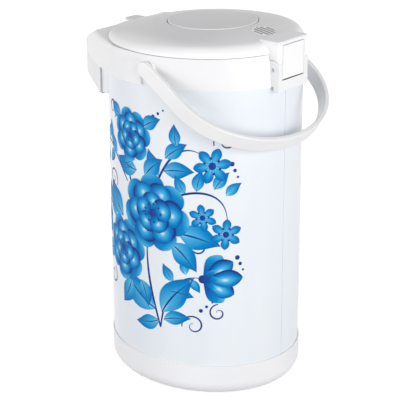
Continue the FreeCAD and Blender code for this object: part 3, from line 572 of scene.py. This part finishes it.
# %% Plan of the bouquet
STEMS = (
    ([(16, 74), (2, 120), (-6, 150), (4, 196)], 1.4), ([(16, 74), (22, 120), (40, 142), (66, 136)], 1.2),
    ([(4, 205), (18, 262), (44, 292), (70, 266)], 1.2), ([(20, 214), (48, 238), (94, 240), (89, 192)], 1.2),
    ([(-10, 214), (-36, 232), (-26, 262), (-22, 276)], 1.2),
    ([(-36, 150), (-64, 190), (-92, 204), (-100, 176)], 1.1),
    ([(-30, 228), (-58, 262), (-84, 272), (-98, 246)], 1.1))
FOOT_LEAVES = (((10, 94), 146, 62), ((18, 92), 50, 58), ((14, 82), 196, 34), ((20, 84), 10, 32))
STEM_LEAVES = (
    ((24, 264), 36, 30), ((16, 244), 116, 30), ((37, 278), 96, 24), ((22, 250), 4, 34),
    ((58, 232), 76, 24), ((76, 235), 50, 24), ((46, 229), 120, 22), ((88, 228), 40, 21),
    ((-58, 180), 128, 28), ((-73, 190), 104, 26), ((-87, 193), 60, 22),
    ((32, 130), 124, 22), ((46, 139), 94, 20), ((29, 118), -8, 26), ((50, 134), -52, 18),
    ((-52, 254), 128, 24), ((-66, 262), 96, 24), ((-80, 262), 60, 20), ((-60, 256), 236, 22))
BLOSSOM_LEAVES = (
    ((-40, 186), 132, 46), ((38, 184), -14, 46), ((-66, 142), 196, 36), ((30, 172), -46, 40),
    ((-14, 244), 168, 36), ((-2, 240), 44, 32), ((-26, 118), 242, 36), ((-10, 122), 290, 30),
    ((-40, 296), 150, 26), ((-4, 292), 28, 26), ((-22, 252), 200, 22))
BLOSSOMS = (((-40, 150), 36, 12, 8), ((8, 202), 42, 40, 30), ((-23, 280), 29, 5, 8), ((-98, 168), 23, 30, 8))
STARS = (((74, 260), 20, 10), ((88, 186), 17, 25), ((-98, 240), 17, 0), ((64, 204), 15, 40))
CURLS = (
    ((88, 286), 13, 200, -480), ((60, 172), 10, 120, 470), ((54, 82), 13, 190, -450),
    ((80, 98), 10, 90, 430), ((-62, 300), 11, 300, 440), ((-72, 108), 12, 60, -430),
    ((-64, 222), 12, 330, 440))
DOT_ROWS = (((100, 160), (3, -7), 2.6), ((94, 262), (3, -7), 2.6), ((62, 100), (6, 5), 2.2),
            ((10, 306), (6, 4), 2.2))
STEM_LAYER, CURL_LAYER, LEAF_LAYER, LARGE_LEAF_LAYER, FLOWER_LAYER = 0, 1, 2, 4, 8
CURL_HALF = 0.9
RIB_FROM = 21
print("motifs", sum(map(len, (STEMS, FOOT_LEAVES, STEM_LEAVES, BLOSSOM_LEAVES, BLOSSOMS, STARS, CURLS))) + 1)


# %% Draw the bouquet
def bouquet(sheet):
    for points, half in STEMS:
        stroke(sheet, smooth_line(points), half, taper, LINE, STEM_LAYER)
    for spot, angle, size in FOOT_LEAVES:
        leaf(sheet, spot, angle, size, size * 0.25, LEAF_LAYER)
    for spot, angle, size in STEM_LEAVES:
        leaf(sheet, spot, angle, size, size * 0.27, LEAF_LAYER, 0.1, size > RIB_FROM)
    for spot, angle, size in BLOSSOM_LEAVES:
        leaf(sheet, spot, angle, size, size * 0.3, LARGE_LEAF_LAYER)
    for centre, radius, turn, layer in BLOSSOMS:
        blossom(sheet, centre, radius, turn, layer)
    for centre, radius, turn in STARS:
        star_flower(sheet, centre, radius, turn, FLOWER_LAYER)
    fan_bud(sheet, (64, 136), 2, 42, FLOWER_LAYER)
    for centre, radius, start, sweep in CURLS:
        stroke(sheet, curl(centre, radius, start, sweep), CURL_HALF, taper, LINE, CURL_LAYER)
    for spot, way, radius in DOT_ROWS:
        for index in range(3):
            place_on_row = (spot[0] + way[0] * index, spot[1] + way[1] * index)
            dot(sheet, place_on_row, radius * (1 - 0.25 * index), CURL_LAYER)


# %% [markdown]
# ## The print on both sides
# The sheet of strokes is wrapped on the right side, and its mirror image, a little further forward, on the
# left. A mirrored mesh is inside out, so its faces are turned round.

# %% Lay the print
FIRST_LIFT = 0.08
LAYER_LIFT = 0.012
FAR_SIDE_SHIFT = 18.0


def smooth_object(name, shape, materials):
    """A smooth-shaded object at the origin, made from a bmesh, which is used up."""
    mesh = bpy.data.meshes.new(name)
    shape.to_mesh(mesh)
    shape.free()
    for material in materials:
        mesh.materials.append(material)
    for polygon in mesh.polygons:
        polygon.use_smooth = True
    piece = bpy.data.objects.new(name, mesh)
    bpy.context.collection.objects.link(piece)
    print(name, len(mesh.polygons), "faces")
    return piece


def lay_print(name, side):
    sheet = bmesh.new()
    sheet.loops.layers.uv.new("stroke")
    bouquet(sheet)
    shift = FAR_SIDE_SHIFT if side < 0 else 0.0
    for vert in sheet.verts:
        spot = on_body(vert.co.x - shift, vert.co.y, FIRST_LIFT + LAYER_LIFT * vert.co.z)
        vert.co = (spot.x * side, spot.y, spot.z)
    if side < 0:
        bmesh.ops.reverse_faces(sheet, faces=sheet.faces)
    piece = smooth_object(name, sheet, PAINTS)
    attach(piece, "pot")


lay_print("flower_print_right", 1)
lay_print("flower_print_left", -1)

# %% [markdown]
# ## Pump bellows
# Under the press plate a rubber bellows shortens when the plate goes down. The solid keeps one length; this
# piece stands for it, the solid is hidden, and the piece rides the lid. Separate rings could be stacked, but
# a folded outline that is spun round the pump's axis gives one closed wall.

# %% Shapes spun round the pump's axis
near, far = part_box("bellows")
PUMP_Y = (near[1] + far[1]) / 2 / MM
SHARP_TURN = 0.6


def spun(outline, steps):
    """A closed outline of radii and heights in millimetres, spun once round the pump's axis."""
    shape = bmesh.new()
    rim = [shape.verts.new((radius * MM, PUMP_Y * MM, height * MM)) for radius, height in outline]
    loop = [shape.edges.new((a, b)) for a, b in zip(rim, rim[1:] + rim[:1])]
    bmesh.ops.spin(shape, geom=rim + loop, cent=(0, PUMP_Y * MM, 0), axis=(0, 0, 1), angle=math.tau,
                   steps=steps, use_merge=True)
    return shape


def new_piece(name, shape, material, body):
    """A piece from a closed shape, smooth but for its sharp edges, that rides the named body."""
    bmesh.ops.remove_doubles(shape, verts=shape.verts, dist=1e-6)
    bmesh.ops.recalc_face_normals(shape, faces=shape.faces)
    for edge in shape.edges:
        edge.smooth = edge.is_manifold and edge.calc_face_angle() < SHARP_TURN
    piece = smooth_object(name, shape, [material])
    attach(piece, body)
    return piece


print("pump axis at y mm", round(PUMP_Y, 2))

# %% Bellows
low, high = near[2] / MM, far[2] / MM - 0.1
BORE, FLANGE_RADIUS, FLANGE, WALL = 21.0, 30.5, 1.6, 1.2
FOLD_RADIUS, FOLD_DEPTH, FOLD_STEPS, STEPS_PER_FOLD = 24.5, 6.0, 40, 8


def bellows_outline():
    foot, head = low + FLANGE, high - FLANGE
    outside = []
    for i in range(FOLD_STEPS + 1):
        swell = 0.5 - 0.5 * math.cos(math.tau * i / STEPS_PER_FOLD)
        outside.append((FOLD_RADIUS + FOLD_DEPTH * swell, foot + (head - foot) * i / FOLD_STEPS))
    inside = [(radius - WALL, height) for radius, height in reversed(outside)]
    lower_flange = [(BORE, low), (FLANGE_RADIUS, low), (FLANGE_RADIUS, foot)]
    upper_flange = [(FLANGE_RADIUS, head), (FLANGE_RADIUS, high), (BORE, high), (BORE, head)]
    return lower_flange + outside + upper_flange + inside + [(BORE, foot)]


bellows_folds = new_piece("bellows_folds", spun(bellows_outline(), 72), pale_rubber, "lid")
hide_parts("bellows")
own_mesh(bellows_folds)

# %% [markdown]
# ## The press plate's lip
# A thin raised lip runs round the press plate and catches the light as a fine white line. A flat ring
# would float at one side, because the plate's middle lies in front of the dome's. So a small half-round
# outline is spun round the pump's axis, and each point is then raised by the dome's height there.

# %% Lip
DOME_RADIUS, DOME_Y, DOME_TOP = 375.0, 16.8, 391.6
LIP_RADIUS, LIP_HALF, LIP_SUNK, LIP_STEPS = 46.0, 0.75, 0.2, 8


def lay_on_dome(shape):
    """Raise each point by the height of the lid's dome above the point's own place."""
    for vert in shape.verts:
        away = math.hypot(vert.co.x, vert.co.y - DOME_Y * MM) / MM
        vert.co.z += (DOME_TOP - DOME_RADIUS + math.sqrt(DOME_RADIUS ** 2 - away ** 2)) * MM


arc = [math.pi * i / LIP_STEPS for i in range(LIP_STEPS + 1)]
lip = spun([(LIP_RADIUS + LIP_HALF * math.cos(a), LIP_HALF * math.sin(a) - LIP_SUNK) for a in arc], 120)
lay_on_dome(lip)
new_piece("press_lip", lip, white_plastic, "press")

# %% [markdown]
# ## The vent's slotted cap
# Behind the press plate the steam vent shows five slots, dark with shade, and a glint where the light
# catches each slot's front end. Cut slots would hardly show at this size, so the shade in each slot is
# painted: a dark bar sunk in a thin cap on the grille, a short cylinder drawn out to a long shape with round
# ends. Each glint is a painted highlight, a white flattened ball. All of them follow the dome.

# %% Vent
VENT_Y, VENT_RADIUS, SLOT_PITCH, SLOT_HALF = 77.5, 13.2, 5.1, 0.75
CAP_HEIGHT, CAP_DRAFT, CAP_LIFT, CAP_RIM = 0.6, 0.3, 0.2, 0.6
SLOT_HEIGHT, SLOT_LIFT, SLOT_SHORT = 0.4, 0.35, 1.6
# Each bead is a painted highlight, a white ball where a glint falls on a slot's front end.
BEAD_RADIUS, BEAD_FLAT, BEAD_LIFT, BEAD_AHEAD = 1.3, 0.5, 0.55, 0.3
# The dark grey of the bars is painted shade, the shade inside the slots.
vent_painted_shade = moulded("vent_painted_shade", plain(rgb(118, 118, 116)), 0.6)
cap, slot_shade_bars, glint_beads = bmesh.new(), bmesh.new(), bmesh.new()
bmesh.ops.create_cone(cap, cap_ends=True, segments=64, radius1=VENT_RADIUS * MM,
                      radius2=(VENT_RADIUS - CAP_DRAFT) * MM, depth=CAP_HEIGHT * MM,
                      matrix=Matrix.Translation((0, VENT_Y * MM, CAP_LIFT * MM)))
for number in range(-2, 3):
    x = number * SLOT_PITCH
    reach = math.sqrt((VENT_RADIUS - CAP_RIM) ** 2 - x ** 2) - SLOT_SHORT
    bar = bmesh.ops.create_cone(slot_shade_bars, cap_ends=True, segments=24, radius1=SLOT_HALF * MM,
                                radius2=SLOT_HALF * MM, depth=SLOT_HEIGHT * MM)["verts"]
    for vert in bar:
        vert.co += Vector((x, VENT_Y + math.copysign(reach - SLOT_HALF, vert.co.y), SLOT_LIFT)) * MM
    ball = bmesh.ops.create_uvsphere(glint_beads, u_segments=20, v_segments=12, radius=BEAD_RADIUS * MM)["verts"]
    bmesh.ops.scale(glint_beads, verts=ball, vec=(1, 1, BEAD_FLAT))
    bmesh.ops.translate(glint_beads, verts=ball, vec=Vector((x, VENT_Y - reach - BEAD_AHEAD, BEAD_LIFT)) * MM)
# The cap takes the lid's finish; the dark bars are painted shade and the white beads painted highlights.
for name, shape, finish in (("vent_cap", cap, lid_painted_light_plastic), ("vent_slot_shade", slot_shade_bars, vent_painted_shade),
                            ("vent_glint_beads", glint_beads, lever_plastic)):
    lay_on_dome(shape)
    new_piece(name, shape, finish, "lid")

# %% [markdown]
# ## The pump's coil
# Inside the bellows a steel coil pushes the plate up again. This piece also stands for its solid, which is
# hidden, and rides the lid. A curve with a round bevel would do, but a small ring that climbs while it is
# spun gives the mesh at once. The two open ends are filled.

# %% Coil
coil_low, coil_high = (corner[2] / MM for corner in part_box("bellows_spring"))
WIRE, COIL_RADIUS, COIL_TURNS, TURN_STEPS = 0.9, 14.0, 6, 32
coil = bmesh.new()
wire = bmesh.ops.create_circle(coil, segments=10, radius=WIRE * MM)["verts"]
bmesh.ops.rotate(coil, verts=wire, cent=(0, 0, 0), matrix=Matrix.Rotation(math.pi / 2, 3, "X"))
bmesh.ops.translate(coil, verts=wire, vec=(COIL_RADIUS * MM, PUMP_Y * MM, (coil_low + WIRE) * MM))
climb = (coil_high - coil_low - 2 * WIRE) / (COIL_TURNS * TURN_STEPS)
wire_edges = list({edge for vert in wire for edge in vert.link_edges})


def close_ends(shape):
    bmesh.ops.holes_fill(shape, edges=[edge for edge in shape.edges if edge.is_boundary], sides=0)


bmesh.ops.spin(coil, geom=wire + wire_edges, cent=(0, PUMP_Y * MM, 0), axis=(0, 0, 1),
               dvec=(0, 0, climb * MM), angle=math.tau * COIL_TURNS, steps=COIL_TURNS * TURN_STEPS)
close_ends(coil)
pump_coil = new_piece("pump_coil", coil, drawn_steel, "lid")
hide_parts("bellows_spring")
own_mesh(pump_coil)

# %% [markdown]
# ## Fairings beside the pouring nose
# The collar flows into the nose without a step: its plan leaves the collar's oval and sweeps in one curve
# to the nose's corner. A subdivided cage could be pulled into this form by hand, but cross-sections at
# many stations keep it true to the collar. The stations run forward from the side, along -y. A section goes
# up the outside, over the round top edge and down the inside, and all lengths are in millimetres.

# %% Plan of the fairing
COLLAR_LOW, COLLAR_HIGH = 338.0, 371.0
LOW_OVAL, HIGH_OVAL = (96.5, 109.0), (101.5, 106.0)
FAIRING_START, FLARE_START = -2.0, -48.0
BURIED, BURIED_START = 0.12, -10.0
SWEEP = [Vector((92.3, FLARE_START)), Vector((77.2, -80.4)), Vector((36.4, -136.7))]
NOSE_END = SWEEP[2].y
SWEEP_MARKS = 80
sweep_line = [SWEEP[0] * (1 - t) ** 2 + SWEEP[1] * 2 * t * (1 - t) + SWEEP[2] * t ** 2
              for t in (i / SWEEP_MARKS for i in range(SWEEP_MARKS + 1))]


def eased(value, start, end):
    """0 at start, 1 at end, eased between."""
    share = min(1.0, max(0.0, (value - start) / (end - start)))
    return share * share * (3 - 2 * share)


def collar_at(y, z):
    """Half width of the collar's leaning oval wall."""
    share = (z - COLLAR_LOW) / (COLLAR_HIGH - COLLAR_LOW)
    half_width, half_depth = (a + (b - a) * share for a, b in zip(LOW_OVAL, HIGH_OVAL))
    return half_width * math.sqrt(max(0.0, 1 - (y / half_depth) ** 2))


def flank_at(y, z):
    """Half width of the fairing's outside at one height, buried in the collar where it starts."""
    if y < FLARE_START:
        return float(np.interp(-y, [-mark.y for mark in sweep_line], [mark.x for mark in sweep_line]))
    stand_out = (SWEEP[0].x - collar_at(FLARE_START, z)) * eased(y, FAIRING_START, FLARE_START)
    return collar_at(y, z) + stand_out - BURIED * eased(y, BURIED_START, FAIRING_START)


print("fairing half width at the flare mm", round(flank_at(FLARE_START, COLLAR_LOW), 1))

# %% Section of the fairing
FAIRING_LOW = COLLAR_LOW + 0.4
TOP_LINE = (104, 133, 136.7), (370.85, 358.6, 355.9)
INSIDE_LINE = (48, 75, 82, 113, 137), (90.0, 72.0, 66.0, 32.5, 28.0)
EDGE_SMALL, EDGE_LARGE, EDGE_GROWS = 0.4, 5.0, (44, 76)
THIN_WALL, LEAST_WALL, TOP_FALL = 0.8, 0.4, 0.1
RISE_STEPS, EDGE_STEPS = 6, 6


def fairing_section(y):
    """Points round the fairing at one station, starting at the lower outside edge."""
    top = float(np.interp(-y, *TOP_LINE))
    edge = EDGE_SMALL + (EDGE_LARGE - EDGE_SMALL) * eased(-y, *EDGE_GROWS)
    shoulder = top - edge
    rise = [FAIRING_LOW + (shoulder - FAIRING_LOW) * i / RISE_STEPS for i in range(RISE_STEPS + 1)]
    section = [(flank_at(y, z), z) for z in rise]
    reach = flank_at(y, shoulder) - edge
    for i in range(1, EDGE_STEPS + 1):
        turn = math.pi / 2 * i / EDGE_STEPS
        section.append((reach + edge * math.cos(turn), shoulder + edge * math.sin(turn)))
    inside = float(np.interp(-y, *INSIDE_LINE)) if y < FLARE_START else reach - THIN_WALL
    inside = min(reach - LEAST_WALL, inside)
    return section + [(inside, top - TOP_FALL), (inside, FAIRING_LOW)]


print("points in a section", len(fairing_section(FLARE_START)))

# %% [markdown]
# ## The nose's cheeks
# Below the fairing the nose has a flat cheek that comes close to the body. One skin for both would need a
# thin web between them, which shows as a dark wedge, so the cheek is a second thin skin. Its lower edge
# follows the chin, its front turns round the nose's corner, and its top ends inside the fairing.

# %% Section of the cheek
CHEEK_START, CHEEK_TOP, CHEEK_WALL, CHEEK_STEPS = -99.8, 344.0, 2.0, 4
CHIN_LOW, CHIN_BEND, CHIN_SLOPE = 297.4, -116.0, 1.04
CORNER_X, CORNER_Y, CORNER_RADIUS = 24.0, -128.0, 15.2


def cheek_section(y):
    """Points round the cheek at one station, from the chin's line up into the collar."""
    chin = CHIN_LOW + max(0.0, CHIN_BEND - y) * CHIN_SLOPE
    side = CORNER_X + math.sqrt(CORNER_RADIUS ** 2 - max(0.0, CORNER_Y - y) ** 2)
    section = [(side, chin + (CHEEK_TOP - chin) * i / CHEEK_STEPS) for i in range(CHEEK_STEPS + 1)]
    return section + [(side - CHEEK_WALL, CHEEK_TOP), (side - CHEEK_WALL, chin)]


print("points in a cheek's section", len(cheek_section(CHEEK_START)))


# %% The two fairings
def bend_skin(shape, section_at, start, stations, side):
    """Bend a grid round the sections from a station to the nose's end, as an open tube."""
    around = len(section_at(start))
    grid = bmesh.ops.create_grid(shape, x_segments=stations, y_segments=around, size=0.5)
    for vert in grid["verts"]:
        y = start + (NOSE_END - start) * (vert.co.x + 0.5)
        x, z = section_at(y)[round((vert.co.y + 0.5) * around) % around]
        vert.co = (x * side * MM, y * MM, z * MM)


for name, side in (("nose_fairing_right", 1), ("nose_fairing_left", -1)):
    shape = bmesh.new()
    bend_skin(shape, fairing_section, FAIRING_START, 100, side)
    bend_skin(shape, cheek_section, CHEEK_START, 30, side)
    bmesh.ops.remove_doubles(shape, verts=shape.verts, dist=1e-6)
    close_ends(shape)
    new_piece(name, shape, white_plastic, "pot")

# %% [markdown]
# ## Floor and background
# The photograph is a plain studio cut-out on white. A brighter lamp could burn the floor out, but it would
# burn the pot out too. So the camera, and rays that come by way of a gloss or a clear layer, see a glowing
# paper through the Light Path node, and all other rays see plain matte paper. Near the pot a little of the
# matte paper shows, which leaves a faint shadow.

# %% Floor
FLOOR_HALF, FLOOR_DROP = 8.0, 0.0004
PAPER_GLOW, NEAR_GLOW = 1.12, 0.84
SHADOW_NEAR, SHADOW_FAR = 0.2, 0.7


def seen(base):
    """1 for rays from the camera, a gloss or a clear layer, 0 for the rays that light the pot."""
    rays = base.make("ShaderNodeLightPath", None, None, "Is Camera Ray")
    return rays + rays.also("Is Glossy Ray") + rays.also("Is Transmission Ray")


paper = bpy.data.materials.new("floor_paper")
paper.use_nodes = True
paper.node_tree.nodes.clear()
base = Tone(paper.node_tree)
matte = base.make("ShaderNodeBsdfDiffuse", None, {"Color": rgb(196, 196, 198)})
glow = base.make("ShaderNodeEmission", None, {"Color": (1, 1, 1, 1), "Strength": PAPER_GLOW})
away = base.make("ShaderNodeVectorMath", {"operation": "LENGTH"}, {0: place(base)}, "Value")
share = seen(base) * (away.ease(SHADOW_NEAR, SHADOW_FAR) * (1 - NEAR_GLOW) + NEAR_GLOW)
mixed = base.make("ShaderNodeMixShader", None, {0: share, 1: matte, 2: glow})
base.make("ShaderNodeOutputMaterial", None, {"Surface": mixed})

floor_shape = bmesh.new()
bmesh.ops.create_grid(floor_shape, x_segments=2, y_segments=2, size=FLOOR_HALF)
floor = smooth_object("studio_floor", floor_shape, [paper])
floor.location.z = -FLOOR_DROP

# %% [markdown]
# ## Sky and lamps
# The photograph is lit softly from the sides, so the upright walls are bright and the flat lid top stays
# grey. One lamp above would do the opposite. Two wide side panels, a weaker one on the far side and a weak
# even sky give this light. The far panel would show as a bright patch on the lid's crown, so it is left
# out of glossy reflections.

# %% Sky and lamps
SKY_LEVEL = 0.37
PANEL_TARGET = Vector((0, 0, 0.2))
PANEL_ELEVATION, PANEL_DISTANCE, PANEL_SIDE = 10, 1.6, 1.2
world = bpy.data.worlds.new("studio")
bpy.context.scene.world = world
world.use_nodes = True
world.node_tree.nodes.clear()
base = Tone(world.node_tree)
strength = seen(base) * (1 - SKY_LEVEL) + SKY_LEVEL
sky = base.make("ShaderNodeBackground", None, {"Color": (1, 1, 1, 1), "Strength": strength})
base.make("ShaderNodeOutputWorld", None, {"Surface": sky})


def side_panel(name, azimuth, watts):
    """A soft square lamp that looks at the middle of the pot; azimuth 0 is in front, in degrees."""
    a, e = math.radians(azimuth), math.radians(PANEL_ELEVATION)
    way = Vector((math.sin(a) * math.cos(e), -math.cos(a) * math.cos(e), math.sin(e)))
    data = bpy.data.lights.new(name, "AREA")
    data.shape = "RECTANGLE"
    data.size = data.size_y = PANEL_SIDE
    data.energy = watts
    lamp = bpy.data.objects.new(name, data)
    bpy.context.collection.objects.link(lamp)
    lamp.matrix_world = (-way).to_track_quat("-Z", "Y").to_matrix().to_4x4()
    lamp.location = PANEL_TARGET + way * PANEL_DISTANCE
    return lamp


side_panel("left_panel", 62, 15.0)
side_panel("right_panel", 165, 19.5)
side_panel("far_panel", 300, 9.0).visible_glossy = False
